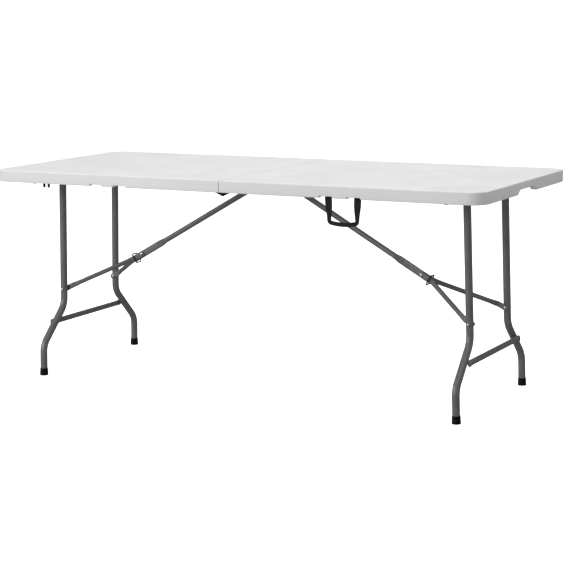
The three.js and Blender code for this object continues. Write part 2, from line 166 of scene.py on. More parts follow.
def shell(points, faces, ends=()):
    """One closed surface: its grid faces, and a flat many-sided face for each ring of indices in `ends`."""
    points = np.asarray(points, float).reshape(-1, 3)
    every = [list(face) for face in faces] + [list(ring) for ring in ends]
    quad = np.array([face for face in every if len(face) == 4])
    a, b, c, d = (points[quad[:, k]] for k in range(4))
    volume = (np.einsum("ij,ij->i", a, np.cross(b, c)) + np.einsum("ij,ij->i", a, np.cross(c, d))).sum()
    for ring in (face for face in every if len(face) > 4):
        p = points[ring]
        volume += (np.cross(p[1:-1], p[2:]) @ p[0]).sum()
    return points, [face[::-1] for face in every] if volume < 0 else every


def finish_piece(name, shells, material, body, nodes=(), crease=38):
    """Joins closed shells (in millimetres) into one mesh in metres, smooth but for edges sharper than
    `crease` degrees, and puts it on its body."""
    mesh = bpy.data.meshes.new(name)
    points, faces, start = [], [], 0
    for p, f in shells:
        points.append(p)
        faces += [[start + k for k in face] for face in f]
        start += len(p)
    mesh.from_pydata((np.concatenate(points) / 1000).tolist(), [], faces)
    mesh.shade_smooth()
    mesh.set_sharp_from_angle(angle=np.radians(crease))
    mesh.materials.append(material)
    piece = bpy.data.objects.new(name, mesh)
    bpy.context.scene.collection.objects.link(piece)
    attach(piece, body)
    if nodes:
        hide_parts(*nodes)
    return piece


def node_group(name, inputs, outputs):
    """An empty shader node group with float or vector sockets; returns it with its ends."""
    group = bpy.data.node_groups.new(name, "ShaderNodeTree")
    for socket, kind, value in inputs:
        made = group.interface.new_socket(name=socket, in_out="INPUT", socket_type=kind)
        if value is not None:
            made.default_value = value
    for socket, kind in outputs:
        group.interface.new_socket(name=socket, in_out="OUTPUT", socket_type=kind)
    return group, group.nodes.new("NodeGroupInput"), group.nodes.new("NodeGroupOutput")


FLOAT, VECTOR = "NodeSocketFloat", "NodeSocketVector"

# Fine grain: noise and rounded cells at the same scale, as moulded pebble and powder coat both have.
grain, grain_in, grain_out = node_group(
    "surface_grain",
    [("Vector", VECTOR, None), ("Scale", FLOAT, 900.0), ("Pebble", FLOAT, 0.5)],
    [("Height", FLOAT), ("Tone", FLOAT)],
)
fine = grain.nodes.new("ShaderNodeTexNoise")
fine.inputs["Detail"].default_value = 3.0
fine.inputs["Roughness"].default_value = 0.55
cells = grain.nodes.new("ShaderNodeTexVoronoi")
cells.feature = "SMOOTH_F1"
cells.inputs["Smoothness"].default_value = 0.7
mix = grain.nodes.new("ShaderNodeMix")
grain.links.new(grain_in.outputs["Vector"], fine.inputs["Vector"])
grain.links.new(grain_in.outputs["Scale"], fine.inputs["Scale"])
grain.links.new(grain_in.outputs["Vector"], cells.inputs["Vector"])
grain.links.new(grain_in.outputs["Scale"], cells.inputs["Scale"])
grain.links.new(grain_in.outputs["Pebble"], mix.inputs["Factor"])
grain.links.new(fine.outputs["Fac"], mix.inputs[2])
grain.links.new(cells.outputs["Distance"], mix.inputs[3])
grain.links.new(mix.outputs[0], grain_out.inputs["Height"])
grain.links.new(fine.outputs["Fac"], grain_out.inputs["Tone"])

# Slow variation: a broad noise spread between two values, for uneven colour and gloss.
drift, drift_in, drift_out = node_group(
    "slow_variation",
    [("Vector", VECTOR, None), ("Scale", FLOAT, 6.0), ("Low", FLOAT, 0.0), ("High", FLOAT, 1.0)],
    [("Value", FLOAT)],
)
broad = drift.nodes.new("ShaderNodeTexNoise")
broad.inputs["Detail"].default_value = 4.0
spread = drift.nodes.new("ShaderNodeMapRange")
spread.inputs["From Min"].default_value = 0.32
spread.inputs["From Max"].default_value = 0.68
drift.links.new(drift_in.outputs["Vector"], broad.inputs["Vector"])
drift.links.new(drift_in.outputs["Scale"], broad.inputs["Scale"])
drift.links.new(broad.outputs["Fac"], spread.inputs["Value"])
drift.links.new(drift_in.outputs["Low"], spread.inputs["To Min"])
drift.links.new(drift_in.outputs["High"], spread.inputs["To Max"])
drift.links.new(spread.outputs["Result"], drift_out.inputs["Value"])


def finish_of(name, dark, light, rough, grain_scale, pebble, bump, drift_scale, metal=0.0, gloss=0.5):
    """A finish: colour drifts between `dark` and `light`, roughness between the two values of `rough`, and
    the grain's height gives a bump of `bump` metres."""
    material = bpy.data.materials.new(name)
    material.use_nodes = True
    nodes, links = material.node_tree.nodes, material.node_tree.links
    surface = nodes["Principled BSDF"]
    surface.inputs["Metallic"].default_value = metal
    surface.inputs["Specular IOR Level"].default_value = gloss
    place = nodes.new("ShaderNodeTexCoord")
    texture = nodes.new("ShaderNodeGroup")
    texture.node_tree = grain
    texture.inputs["Scale"].default_value = grain_scale
    texture.inputs["Pebble"].default_value = pebble
    tone = nodes.new("ShaderNodeGroup")
    tone.node_tree = drift
    tone.inputs["Scale"].default_value = drift_scale
    sheen = nodes.new("ShaderNodeGroup")
    sheen.node_tree = drift
    sheen.inputs["Scale"].default_value = 3.1 * drift_scale
    sheen.inputs["Low"].default_value, sheen.inputs["High"].default_value = rough
    colour = nodes.new("ShaderNodeMix")
    colour.data_type = "RGBA"
    colour.inputs[6].default_value = (*dark, 1)
    colour.inputs[7].default_value = (*light, 1)
    relief = nodes.new("ShaderNodeBump")
    relief.inputs["Distance"].default_value = bump
    for group in (texture, tone, sheen):
        links.new(place.outputs["Object"], group.inputs["Vector"])
    links.new(tone.outputs["Value"], colour.inputs[0])
    links.new(colour.outputs[2], surface.inputs["Base Color"])
    links.new(sheen.outputs["Value"], surface.inputs["Roughness"])
    links.new(texture.outputs["Height"], relief.inputs["Height"])
    links.new(relief.outputs["Normal"], surface.inputs["Normal"])
    return material


polyethylene = finish_of(
    "moulded_polyethylene",
    dark=(0.835, 0.835, 0.83),
    light=(0.875, 0.875, 0.87),
    rough=(0.46, 0.6),
    grain_scale=620,
    pebble=0.65,
    bump=0.00012,
    drift_scale=5.0,
    gloss=0.42,
)

strap_edges = np.add.outer(STRAP_AT, np.linspace(-NOTCH_HALF, -NOTCH_HALF + NOTCH_SIDE, 7)).ravel()
strap_edges = np.concatenate([strap_edges, 2 * np.repeat(STRAP_AT, 7) - strap_edges])
ALONG = np.unique(np.round(np.concatenate([[SEAM_X], np.linspace(5, END_X - CORNER, 172), strap_edges]), 1))
TURN = np.linspace(0, np.pi / 2, 11)[1:]
finger_edges = np.linspace(FINGER_HALF[0] - 4, FINGER_HALF[2] + 1, 22) / (HALF_WIDTH - CORNER)
ACROSS = np.unique(np.round(np.concatenate([np.linspace(-1, 1, 149), finger_edges, -finger_edges]), 4))


def rows_at(inset):
    """Rows of a half's plan drawn in by `inset`: x along the half, and half the width there, which falls
    as a quarter circle of radius corner - inset at the outer end."""
    shift = inset * SEAM_SHARE * np.clip(1 - (ALONG - SEAM_X) / 60, 0, 1)
    radius = CORNER - inset
    x = np.concatenate([ALONG + shift, END_X - CORNER + radius * np.sin(TURN)])
    straight = np.full(len(ALONG), HALF_WIDTH - inset)
    return x, np.concatenate([straight, HALF_WIDTH - CORNER + radius * np.cos(TURN)])


def sheet_at(inset):
    """The plan as a grid: (x, half width * across), which has no pole."""
    x, half = rows_at(inset)
    return np.stack([np.repeat(x[:, None], len(ACROSS), 1), half[:, None] * ACROSS[None, :]], -1)


def edge_numbers():
    """Numbers of the grid's edge points in order: front, outer end, rear, seam."""
    rows, columns = len(ALONG) + len(TURN), len(ACROSS)
    grid = np.arange(rows * columns).reshape(rows, columns)
    return np.concatenate([grid[:, 0], grid[-1, 1:], grid[-2::-1, -1], grid[0, -2:0:-1]])


def notch_rise(x, y):
    """How far the rim's foot is raised: eased trapezoids at the strap on the front, and the finger hold,
    with its small step, in the middle of the end."""
    strap = sum(ease((NOTCH_HALF - np.abs(x - at)) / NOTCH_SIDE) for at in STRAP_AT) * NOTCH_RISE
    finger = np.interp(np.abs(y), FINGER_HALF, FINGER_RISE)
    return np.where(y < -300, strap, 0) + np.where(x > END_X - CORNER / 2, finger, 0)


def rim_profile():
    """(inset, height, share of the notch) round the rim's section: top edge, outer face, foot and
    inner face."""
    quarter = np.linspace(0, np.pi / 2, 6)
    top = [(9, DECK_TOP, 0), (6, DECK_TOP, 0)]
    top += [(EDGE_ROUND * (1 - np.sin(a)), DECK_TOP - EDGE_ROUND * (1 - np.cos(a)), 0) for a in quarter]
    outer = [(0, 733, 0), (0, 724, 0), (0, 715, 0.55)]
    foot = [(RIM_ROUND * (1 - np.cos(a)), RIM_FOOT + RIM_ROUND * (1 - np.sin(a)), 1) for a in quarter]
    inset = RIM_INSET - RIM_ROUND
    inner = [(inset + RIM_ROUND * np.sin(a), RIM_FOOT + RIM_ROUND * (1 - np.cos(a)), 1) for a in quarter]
    bend = CEILING - FILLET
    fillet = [(RIM_INSET + FILLET * (1 - np.cos(a)), bend + FILLET * np.sin(a), 0) for a in quarter[:-1]]
    return np.array(top + outer + foot + inner + fillet)


def dimples(x, y):
    """Height of the underside above its flat: staggered ovals with eased sides, clear of the rails and
    the rim."""
    row = np.round(y / DIMPLE["y"])
    offset = np.where(row % 2 == 0, 0.0, 0.5)
    column = np.round(x / DIMPLE["x"] - offset) + offset
    far = np.hypot((x - column * DIMPLE["x"]) / DIMPLE["long"], (y - row * DIMPLE["y"]) / DIMPLE["short"])
    inside = (np.abs(row * DIMPLE["y"]) < 300) & (column * DIMPLE["x"] > 60) & (column * DIMPLE["x"] < 850)
    return np.where(inside, DIMPLE["rise"] * ease((1 - far) / 0.55), 0)


def half_top(mirror):
    """The rim's section carried round the edge of the plan, closed above by a flat face and below by the
    dimpled grid; x is turned about the seam for the left half."""
    profile = rim_profile()
    edge = edge_numbers()
    foot = sheet_at(0).reshape(-1, 2)[edge]
    rise = notch_rise(foot[:, 0], foot[:, 1])
    plans = np.stack([sheet_at(inset).reshape(-1, 2)[edge] for inset in profile[:, 0]])
    heights = profile[:, 1][:, None] + profile[:, 2][:, None] * rise[None, :]
    rings = np.concatenate([plans, heights[..., None]], -1)
    under = sheet_at(RIM_INSET + FILLET)
    below = np.concatenate([under, (CEILING + dimples(under[..., 0], under[..., 1]))[..., None]], -1)
    count, size = len(profile), len(edge)
    walls = quads((count, size))
    last = (count - 1) * size + np.arange(size)
    meet = count * size + edge
    seam = np.stack([last, np.roll(last, -1), np.roll(meet, -1), meet], -1)
    ceiling = quads(under.shape[:2], around=False) + count * size
    points = np.concatenate([rings.reshape(-1, 3), below.reshape(-1, 3)]) * (mirror, 1, 1)
    faces = [*walls.tolist(), *seam.tolist(), *ceiling[:, ::-1].tolist()]
    return shell(points, faces, [list(range(size))[::-1]])


for side, mirror in SIDES:
    name = f"{side}_top_panel"
    finish_piece(f"{side}_moulded_top", [half_top(mirror)], polyethylene, f"{side}_half", [name])


# ---- Rails: folded steel channels under each half, with an ear for each tube that turns in them ----
# They are powder-coated like the rest of the frame, and held up by pan-head screws along their webs.
powder_coat = finish_of(
    "grey_powder_coat",
    dark=(0.175, 0.177, 0.18),
    light=(0.215, 0.217, 0.22),
    rough=(0.3, 0.42),
    grain_scale=1500,
    pebble=0.25,
    bump=0.00006,
    drift_scale=14.0,
    metal=0.15,
)
zinc_plate = finish_of(
    "bright_zinc",
    dark=(0.6, 0.61, 0.63),
    light=(0.78, 0.79, 0.8),
    rough=(0.2, 0.36),
    grain_scale=2600,
    pebble=0.1,
    bump=0.00003,
    drift_scale=60.0,
    metal=0.95,
)
SCREWS_X = np.linspace(95, 720, 6)
RAIL_Y, WEB_Z = 339.0, 721.6


def dress(node, material):
    """Gives a CAD node that is kept its finish."""
    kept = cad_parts[node]
    kept.data.materials.clear()
    kept.data.materials.append(material)


def turned(profile, centre, axis, sides=32):
    """A turned shape: each (distance along, radius) of the profile becomes a ring about `axis`, closed by
    a flat disc at each end."""
    profile = np.array(profile, float)
    axis = np.array(axis, float) / np.linalg.norm(axis)
    across = np.cross(axis, (0, 0, 1) if abs(axis[2]) < 0.9 else (1, 0, 0))
    across /= np.linalg.norm(across)
    turn = 2 * np.pi * np.arange(sides) / sides
    rim = np.cos(turn)[:, None] * across + np.sin(turn)[:, None] * np.cross(axis, across)
    rings = np.array(centre, float) + profile[:, :1, None] * axis + profile[:, 1:, None] * rim
    ends = [list(range(sides)), list(range((len(profile) - 1) * sides, len(profile) * sides))[::-1]]
    return shell(rings, quads((len(profile), sides))[:, ::-1], ends)


for side, mirror in SIDES:
    for edge, way in (("front", -1), ("rear", 1)):
        dress(f"{side}_{edge}_rail", powder_coat)
        pan = [(0, 1.0), (0.4, 2.2), (0.9, 3.2), (1.6, 3.9), (2.3, 4.1), (2.6, 4.1)]
        heads = [turned(pan, (mirror * x, way * RAIL_Y, WEB_Z - 2.4), (0, 0, 1), 20) for x in SCREWS_X]
        finish_piece(f"{side}_{edge}_rail_screws", heads, zinc_plate, f"{side}_half")


# ---- Leg sets: round steel tube, bent out below the braces, on a pivot tube that turns in the rails ----
# The legs are welded to the pivot tube, whose ends are swaged where they turn in the ears, and to a
# spreader across their outer sides.
LEG_PIVOT, ARM_PIVOT = np.array([775.0, 0, 702.0]), np.array([787.0, 0, 292.0])
LEAN = np.arctan2(ARM_PIVOT[0] - LEG_PIVOT[0], LEG_PIVOT[2] - ARM_PIVOT[2])
TUBE_WALL = 1.2
LEG = {"r": 12.5, "top": 164.0, "foot": 290.0, "bend": 65.0, "bend_z": 262.0, "turn": np.pi / 4}
CAP_FLOOR = 6.0
PIVOT_BAR = {"half": 340.0, "r": 8.0, "swaged": 5.6, "from": 312.0, "over": 10.0}
BEAD_R = PIVOT_BAR["r"] + 0.2
SPREADER = {"r": 9.5, "z": 178.0, "half": 216.0, "out": 16.0, "pinch_from": 196.0, "pinch": 18.0}


def tilted(points, pivot, tilt, mirror):
    """Points drawn about a pivot, turned by `tilt` about Y, moved to the pivot, and mirrored in x for
    the left side."""
    points = np.asarray(points, float)
    x = points[..., 0] * np.cos(tilt) + points[..., 2] * np.sin(tilt) + pivot[0]
    z = points[..., 2] * np.cos(tilt) - points[..., 0] * np.sin(tilt) + pivot[2]
    return np.stack([mirror * x, points[..., 1], z], -1)


def placed(made, pivot, tilt, mirror):
    """A shell put in its place; mirrored shells have their faces turned round."""
    points, faces = made
    return tilted(points, pivot, tilt, mirror), [face[::-1] for face in faces] if mirror < 0 else faces


def tube(path, side, wide, tall, wall=TUBE_WALL, boxy=1.0, sides=28):
    """A section carried along a path: path + wide c side + tall s normal, where c and s are the cosine and
    sine of the turn raised to the power `boxy` with their signs, and normal = heading x side. The bore is
    the same with wide and tall less the wall, joined to the outside at both ends."""
    path, side = np.array(path, float), np.array(side, float)
    wide, tall, boxy = (np.broadcast_to(np.asarray(v, float), len(path)) for v in (wide, tall, boxy))
    heading = np.gradient(path, axis=0)
    heading /= np.linalg.norm(heading, axis=1)[:, None]
    normal = np.cross(heading, side)
    normal /= np.linalg.norm(normal, axis=1)[:, None]
    turn = 2 * np.pi * np.arange(sides) / sides
    c = np.sign(np.cos(turn)) * np.abs(np.cos(turn)) ** boxy[:, None]
    s = np.sign(np.sin(turn)) * np.abs(np.sin(turn)) ** boxy[:, None]

    def rings(inset):
        """The rings of points `inset` in from the outside."""
        across = (wide - inset)[:, None, None] * c[..., None] * side
        return path[:, None] + across + (tall - inset)[:, None, None] * s[..., None] * normal[:, None]

    if not wall:
        count = len(path)
        ends = [list(range(sides)), list(range((count - 1) * sides, count * sides))[::-1]]
        return shell(rings(0), quads((count, sides))[:, ::-1], ends)
    lip = 0.25
    outer, inner, edge = rings(0), rings(wall), rings(lip)
    outer[0], outer[-1] = outer[0] + lip * heading[0], outer[-1] - lip * heading[-1]
    loop = np.concatenate([edge[:1], outer, edge[-1:], inner[::-1]])
    return shell(loop, quads((len(loop), sides), along=True))


def leg_path(way):
    """The leg's centre line about its pivot: straight down, an arc out, a slope, an arc back, and
    straight down."""
    bend, turn = LEG["bend"], LEG["turn"]
    a = np.linspace(0, turn, 13)
    start = LEG["bend_z"] - LEG_PIVOT[2]
    y1, z1 = LEG["top"] + bend * (1 - np.cos(a)), start - bend * np.sin(a)
    run = (LEG["foot"] - LEG["top"] - 2 * bend * (1 - np.cos(turn))) / np.tan(turn)
    low = start - 2 * bend * np.sin(turn) - run
    y2, z2 = LEG["foot"] - bend * (1 - np.cos(a[::-1])), low + bend * np.sin(a[::-1])
    drop = np.linspace(5, start, 24)[:-1]
    foot = np.linspace(z2[-1], CAP_FLOOR + 1.5 - LEG_PIVOT[2], 5)[1:]
    y = np.concatenate([np.full(len(drop), LEG["top"]), y1, y2, np.full(len(foot), LEG["foot"])])
    z = np.concatenate([drop, z1, z2, foot])
    return np.stack([np.zeros(len(z)), way * y, z], -1)


def straight(y0, y1, x=0.0, z=0.0, steps=9):
    """A line of points along Y."""
    y = np.linspace(y0, y1, steps)
    return np.stack([np.full(steps, x), y, np.full(steps, z)], -1)


def weld_bead(centre, axis, radius, bead=1.7, ripples=26):
    """A weld: a ring of round bead about an axis, whose thickness ripples with sin(ripples t)."""
    axis = np.array(axis, float)
    across = np.cross(axis, (0, 0, 1) if abs(axis[2]) < 0.9 else (1, 0, 0))
    across /= np.linalg.norm(across)
    t = 2 * np.pi * np.arange(104) / 104
    radial = np.cos(t)[:, None] * across + np.sin(t)[:, None] * np.cross(axis, across)
    q = 2 * np.pi * np.arange(10) / 10
    size = bead * (1 + 0.14 * np.sin(ripples * t))[:, None, None]
    section = np.cos(q)[None, :, None] * radial[:, None] + np.sin(q)[None, :, None] * axis
    rings = np.array(centre, float) + radius * radial[:, None] + size * section
    return shell(rings, quads((104, 10), along=True))


for side, mirror in SIDES:
    body = f"{side}_leg_set"
    for edge, way in (("front", -1), ("rear", 1)):
        leg = placed(tube(leg_path(way), (1, 0, 0), LEG["r"], LEG["r"]), LEG_PIVOT, -LEAN, mirror)
        nodes = [f"{side}_{edge}_leg"]
        finish_piece(f"{side}_{edge}_leg_tube", [leg], powder_coat, body, nodes)
    line = straight(-PIVOT_BAR["half"], PIVOT_BAR["half"], steps=137)
    narrow = ease((np.abs(line[:, 1]) - PIVOT_BAR["from"]) / PIVOT_BAR["over"])
    radius = PIVOT_BAR["r"] - (PIVOT_BAR["r"] - PIVOT_BAR["swaged"]) * narrow
    pivot = placed(tube(line, (1, 0, 0), radius, radius), LEG_PIVOT, -LEAN, mirror)
    beads = [
        placed(weld_bead((0, way * (LEG["top"] + out), 0), (0, 1, 0), BEAD_R), LEG_PIVOT, -LEAN, mirror)
        for way in (-1, 1)
        for out in (0.3 - LEG["r"], LEG["r"] - 0.3)
    ]
    nodes = [f"{side}_leg_pivot_tube"]
    finish_piece(f"{side}_pivot_bar", [pivot, *beads], powder_coat, body, nodes)
    level = -(LEG_PIVOT[2] - SPREADER["z"]) / np.cos(LEAN)
    line = straight(-SPREADER["half"], SPREADER["half"], SPREADER["out"], level, 25)
    end = ease((np.abs(line[:, 1]) - SPREADER["pinch_from"]) / SPREADER["pinch"])
    wide, tall = SPREADER["r"] - 2.6 * end, SPREADER["r"] + 1.4 * end
    bar = tube(line + np.stack([2.2 * end, 0 * end, 0 * end], -1), (1, 0, 0), wide, tall, 0, 1 - 0.25 * end)
    bar = placed(bar, LEG_PIVOT, -LEAN, mirror)
    finish_piece(f"{side}_spreader_bar", [bar], powder_coat, body, [f"{side}_spreader"])


# ---- Foot caps: black moulded cups pushed over the tube ends, flared to a flat foot ----
# Their soles are level with the floor though the legs lean, and three shallow rings grip the tube.
black_plastic = finish_of(
    "black_moulded_plastic",
    dark=(0.003, 0.003, 0.0035),
    light=(0.008, 0.008, 0.0085),
    rough=(0.4, 0.58),
    grain_scale=1800,
    pebble=0.5,
    bump=0.00008,
    drift_scale=30.0,
    gloss=0.22,
)


def foot_cap(way):
    """A cup turned about the leg: the sole, a rounded heel, a tapering wall with rings, a lip, and
    the bore."""
    heel = [(2.6 * (1 - np.sin(a)), 12.4 + 2.6 * np.cos(a)) for a in np.linspace(np.pi / 2, 0, 7)]
    z = np.linspace(4, 24, 31)
    rings = 0.22 * np.cos((z - 4) * 2 * np.pi / 5) * ease((z - 5) / 3) * ease((22 - z) / 3)
    wall = list(zip(z, 15 - 0.045 * z - 0.1 + rings))
    lip = [(25.2, 13.95), (25.8, 13.6), (26.0, 13.2), (25.8, 12.85)]
    bore = [(20.0, 12.75), (7.2, 12.75), (6.2, 12.2), (6.0, 11.0)]
    profile = np.array([(-0.7, 12.0), *[(h - 0.5, r) for h, r in heel], *wall, *lip, *bore])
    sole = -LEG_PIVOT[2] / np.cos(LEAN)
    return turned(profile, (0, way * LEG["foot"], sole), (0, 0, 1), 48)


for side, mirror in SIDES:
    for edge, way in (("front", -1), ("rear", 1)):
        points, faces = placed(foot_cap(way), LEG_PIVOT, -LEAN, mirror)
        points[:, 2] = np.maximum(points[:, 2], 0)
        name = f"{side}_{edge}_foot_cap"
        finish_piece(f"{name}_cup", [(points, faces)], black_plastic, f"{side}_leg_set", [name])


# ---- Rivets: zinc-plated steel, domed on the outside of each leg and on each side of the knee ----
# The arms' pins have their heads inside the legs. Each head has a rolled centre.
RIVET_R, HEAD_R, HEAD_H = 3.2, 6.0, 2.2
ARM_DROP = -np.hypot(ARM_PIVOT[0] - LEG_PIVOT[0], ARM_PIVOT[2] - LEG_PIVOT[2])
HEAD_EDGE = [(0.0, HEAD_R - 0.25), (0.25, HEAD_R), (0.7, HEAD_R - 0.05)]
HEAD_CROWN = [(1.2, 5.3), (1.7, 4.3), (2.05, 3.3), (HEAD_H, 2.5)]
HEAD_ROLL = [(2.05, 1.9), (1.6, 1.4), (1.35, 0.8)]
DOME = HEAD_EDGE + HEAD_CROWN + HEAD_ROLL


def rivet(y0, y1, low, high):
    """A rivet along Y from y0 to y1: the shank, and a dome beyond each end that has a head."""
    start = [(y0 + HEAD_H - h, r) for h, r in DOME[::-1]] if low else [(y0, 2.6), (y0 + 0.4, RIVET_R)]
    stop = [(y1 - HEAD_H + h, r) for h, r in DOME] if high else [(y1 - 0.4, RIVET_R), (y1, 2.6)]
    inner0 = [(y0 + HEAD_H, RIVET_R)] if low else []
    inner1 = [(y1 - HEAD_H, RIVET_R)] if high else []
    return np.array([*start, *inner0, *inner1, *stop])


for side, mirror in SIDES:
    for edge, way in (("front", -1), ("rear", 1)):
        outer, inner = LEG["top"] + LEG["r"] + HEAD_H, LEG["top"] - LEG["r"] - 0.1
        shape = rivet(-outer, -inner, True, False) if way < 0 else rivet(inner, outer, False, True)
        made = placed(turned(shape, (0, 0, ARM_DROP), (0, 1, 0), 28), LEG_PIVOT, -LEAN, mirror)
        name = f"{side}_{edge}_leg_rivet"
        finish_piece(f"{name}_head", [made], zinc_plate, f"{side}_leg_set", [name])


# ---- Braces: round tube from a cross tube near the seam, pressed to a tall blade where the arms join ----
# The knee rivet holds both arms, and a small stop pin through the blade keeps the ring from sliding off.
BRACE_PIVOT, KNEE = np.array([30.0, 0, 704.0]), np.array([551.7, 0, 411.0])
KNEE_AT = np.hypot(KNEE[0] - BRACE_PIVOT[0], KNEE[2] - BRACE_PIVOT[2])
BRACE_DIP = np.arctan2(BRACE_PIVOT[2] - KNEE[2], KNEE[0] - BRACE_PIVOT[0])
BRACE_R, BLADE_Y, BLADE_Z, BLADE_TAIL = 9.5, 5.0, 12.5, 46.0
BLADE_FROM, BLADE_PRESS, NOSE = 480.0, 30.0, 9.0
CROSS_HALF, CROSS_R, STOP_AT = 340.0, 8.0, 516.0
KNEE_GAP, ARM_KNEE_THIN = 0.4, 3.2


def level_path(x, y=0.0):
    """Points along X, with y for each."""
    return np.stack([x, np.broadcast_to(y, len(x)), np.zeros(len(x))], -1)


def brace():
    """The brace along X: sections ease from a pinched end to round, and from round to a tall flat blade
    with a rounded nose."""
    end = KNEE_AT + BLADE_TAIL
    tip = end - NOSE * (1 - np.sin(np.linspace(0.15, 1.5, 8)))
    press = np.linspace(BLADE_FROM - 2, BLADE_FROM + BLADE_PRESS + 2, 20)
    tail = np.linspace(BLADE_FROM + 40, end - NOSE, 8)
    x = np.concatenate([np.linspace(2, 24, 9), np.linspace(60, BLADE_FROM - 10, 9), press, tail, tip])
    flat = ease((x - BLADE_FROM) / BLADE_PRESS)
    nose = np.sqrt(np.clip(1 - np.clip((x - end + NOSE) / (NOSE + 0.2), 0, 1) ** 2, 0.02, 1))
    pinch = 1 - ease((x - 2) / 20)
    wide = (BRACE_R + (BLADE_Y - BRACE_R) * flat) * (0.55 + 0.45 * nose)
    tall = (BRACE_R + (BLADE_Z - BRACE_R) * flat - 2.2 * pinch) * (0.3 + 0.7 * nose)
    return tube(level_path(x), (0, 1, 0), wide, tall, 0, 1 - 0.42 * flat)


for side, mirror in SIDES:
    body = f"{side}_upper_brace"
    place = (BRACE_PIVOT, BRACE_DIP, mirror)
    bar = placed(tube(straight(-CROSS_HALF, CROSS_HALF), (1, 0, 0), CROSS_R, CROSS_R), *place)
    beside = BRACE_R - 0.3
    beads = [placed(weld_bead((0, y, 0), (0, 1, 0), BEAD_R, 1.5), *place) for y in (-beside, beside)]
    nodes = [f"{side}_cross_tube"]
    finish_piece(f"{side}_cross_bar", [bar, *beads], powder_coat, body, nodes)
    nodes = [f"{side}_brace"]
    finish_piece(f"{side}_brace_bar", [placed(brace(), *place)], powder_coat, body, nodes)
    knee_half = BLADE_Y + KNEE_GAP + 2 * ARM_KNEE_THIN + HEAD_H
    pin = turned(rivet(-knee_half, knee_half, True, True), (KNEE_AT, 0, 0), (0, 1, 0), 28)
    nodes = [f"{side}_knee_rivet"]
    finish_piece(f"{side}_knee_rivet_heads", [placed(pin, *place)], zinc_plate, body, nodes)
    stop = [(-5.6, 1.6), (-5.5, 2.3), (-5.1, 2.5), (5.1, 2.5), (5.5, 2.3), (5.6, 1.6)]
    pin = placed(turned(stop, (STOP_AT, 0, 4.5), (0, 1, 0), 20), *place)
    finish_piece(f"{side}_ring_stop_pin", [pin], black_plastic, body)


# ---- Arms: lighter tube, flattened on both ends, from the knee out to the inner side of each leg ----
# The flats lie against the blade and the leg, where the knee rivet and a headed pin hold them.
ARM_DIP = np.arctan2(KNEE[2] - ARM_PIVOT[2], ARM_PIVOT[0] - KNEE[0])
ARM_AT = np.hypot(ARM_PIVOT[0] - KNEE[0], ARM_PIVOT[2] - KNEE[2])
ARM_R, ARM_LEG_THIN, LEG_GAP = 8.0, 3.5, 0.6
ARM_IN, ARM_OUT = BLADE_Y + KNEE_GAP + ARM_KNEE_THIN, LEG["top"] - LEG["r"] - LEG_GAP - ARM_LEG_THIN
ARM_BENDS, ARM_TIP = (40, 238), 10.0


def arm(way):
    """The arm along X: its offset follows straight runs with eased corners, and its section goes from flat
    to round and back to flat, with rounded tips."""
    near_tip = -ARM_TIP + 8 * (1 - np.cos(np.linspace(0.2, np.pi / 2, 6)))
    far_tip = ARM_AT + ARM_TIP * np.sin(np.linspace(0.15, 1.45, 7))
    near_end, middle, far_end = np.linspace(2, 88, 30), np.linspace(96, 196, 8), np.linspace(204, ARM_AT, 24)
    x = np.concatenate([near_tip, near_end, middle, far_end, far_tip])
    fine_x = np.linspace(-40, ARM_AT + 40, 700)
    line = np.interp(fine_x, ARM_BENDS, (ARM_IN, ARM_OUT))
    window = np.hanning(41)
    line = np.convolve(np.pad(line, 20, mode="edge"), window / window.sum(), "valid")
    y = way * np.interp(x, fine_x, line)
    flat = np.maximum(1 - ease((x - 36) / 32), ease((x - 206) / 30))
    reach = ARM_TIP + 0.5
    tip = np.minimum(np.clip((x + reach) / 9.5, 0, 1), np.clip((ARM_AT + reach - x) / 9.5, 0, 1))
    nose = np.sqrt(1 - (1 - tip) ** 2)
    thin = np.where(x < ARM_AT / 2, ARM_KNEE_THIN, ARM_LEG_THIN)
    tall = (ARM_R + 1.5 * flat) * (0.25 + 0.75 * nose)
    deep = (ARM_R + (thin - ARM_R) * flat) * (0.75 + 0.25 * nose)
    return tube(level_path(x, y), (0, 0, 1), tall, deep, 0, 1 - 0.36 * flat, 26)


for side, mirror in SIDES:
    for edge, way in (("front", -1), ("rear", 1)):
        place = (KNEE, ARM_DIP, mirror)
        nodes = [f"{side}_{edge}_arm"]
        made = [placed(arm(way), *place)]
        finish_piece(f"{side}_{edge}_arm_bar", made, powder_coat, f"{side}_arms", nodes)
        near, far = ARM_OUT - ARM_LEG_THIN - HEAD_H, ARM_OUT + ARM_LEG_THIN
        shape = rivet(-far, -near, False, True) if way < 0 else rivet(near, far, True, False)
        pin = placed(turned(shape, (ARM_AT, 0, 0), (0, 1, 0), 28), *place)
        name = f"{side}_{edge}_arm_pin"
        finish_piece(f"{name}_head", [pin], zinc_plate, f"{side}_arms", [name])


# ---- Lock rings: a loop of round wire that slides over the knee and keeps the brace straight ----
# The wire is dark-painted steel, bent to a rounded square and butt-welded.
dark_steel = finish_of(
    "dark_painted_wire",
    dark=(0.02, 0.02, 0.021),
    light=(0.045, 0.045, 0.047),
    rough=(0.25, 0.45),
    grain_scale=1400,
    pebble=0.3,
    bump=0.00005,
    drift_scale=50.0,
    metal=0.4,
)
RING_WIRE, RING_Y, RING_Z, RING_PAST = 2.3, 14.8, 15.0, 31.0


